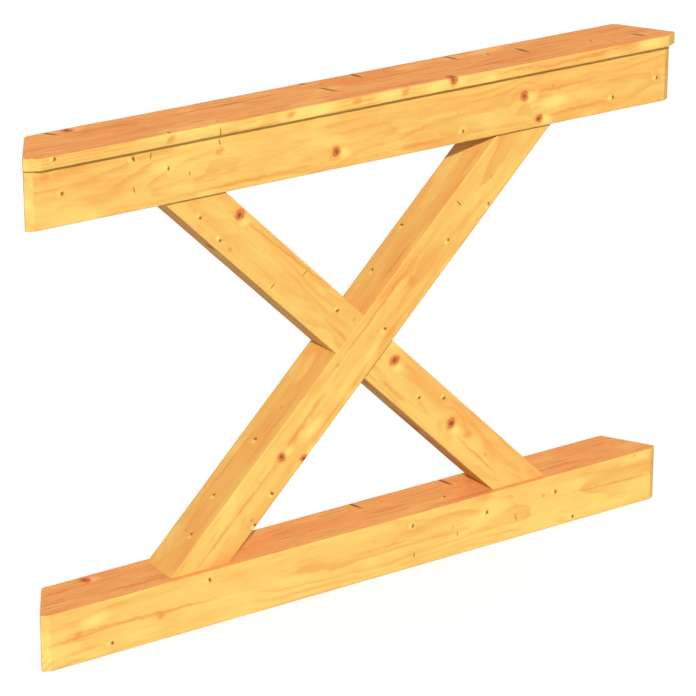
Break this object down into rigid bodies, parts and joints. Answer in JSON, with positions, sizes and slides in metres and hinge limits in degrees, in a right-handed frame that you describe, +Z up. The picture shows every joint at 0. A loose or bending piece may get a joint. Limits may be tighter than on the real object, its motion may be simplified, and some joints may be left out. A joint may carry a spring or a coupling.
{
  "type": "cross-braced timber railing panel",
  "caption": "Rigid timber railing panel: square top and bottom rails joined by a half-lapped X of square braces, with an overhanging cap board and mitred ends.",
  "frame": {"origin": "middle of the panel's length and depth, at the underside of the bottom rail, where it stands", "axes": "+X along the panel, to the right seen from the front; -Y is the front, the side the cap board overhangs; +Z up"},
  "size_m": [1.1372, 0.103, 0.7845],
  "materials": {
    "rail_pine": "satin golden-yellow stain on planed spruce with knots",
    "cap_pine": "satin golden-yellow stain on planed spruce, deeper orange on the upper face",
    "brace_pine": "satin golden-yellow stain on planed spruce with knots",
    "zinc_screw": "yellow-passivated zinc on steel"
  },
  "bodies": {
    "root": {"bottom_rail": "rail_pine", "top_rail": "rail_pine", "cap_board": "cap_pine", "rising_brace": "brace_pine", "falling_brace": "brace_pine", "brace_screw_bottom_left_outer": "zinc_screw", "brace_screw_bottom_left_inner": "zinc_screw", "brace_screw_bottom_right_outer": "zinc_screw", "brace_screw_bottom_right_inner": "zinc_screw", "brace_screw_top_left_outer": "zinc_screw", "brace_screw_top_left_inner": "zinc_screw", "brace_screw_top_right_outer": "zinc_screw", "brace_screw_top_right_inner": "zinc_screw", "cap_screw_1": "zinc_screw", "cap_screw_2": "zinc_screw", "cap_screw_3": "zinc_screw", "cap_screw_4": "zinc_screw", "cap_screw_5": "zinc_screw", "lap_screw_left": "zinc_screw", "lap_screw_right": "zinc_screw"}
  },
  "joints": []
}
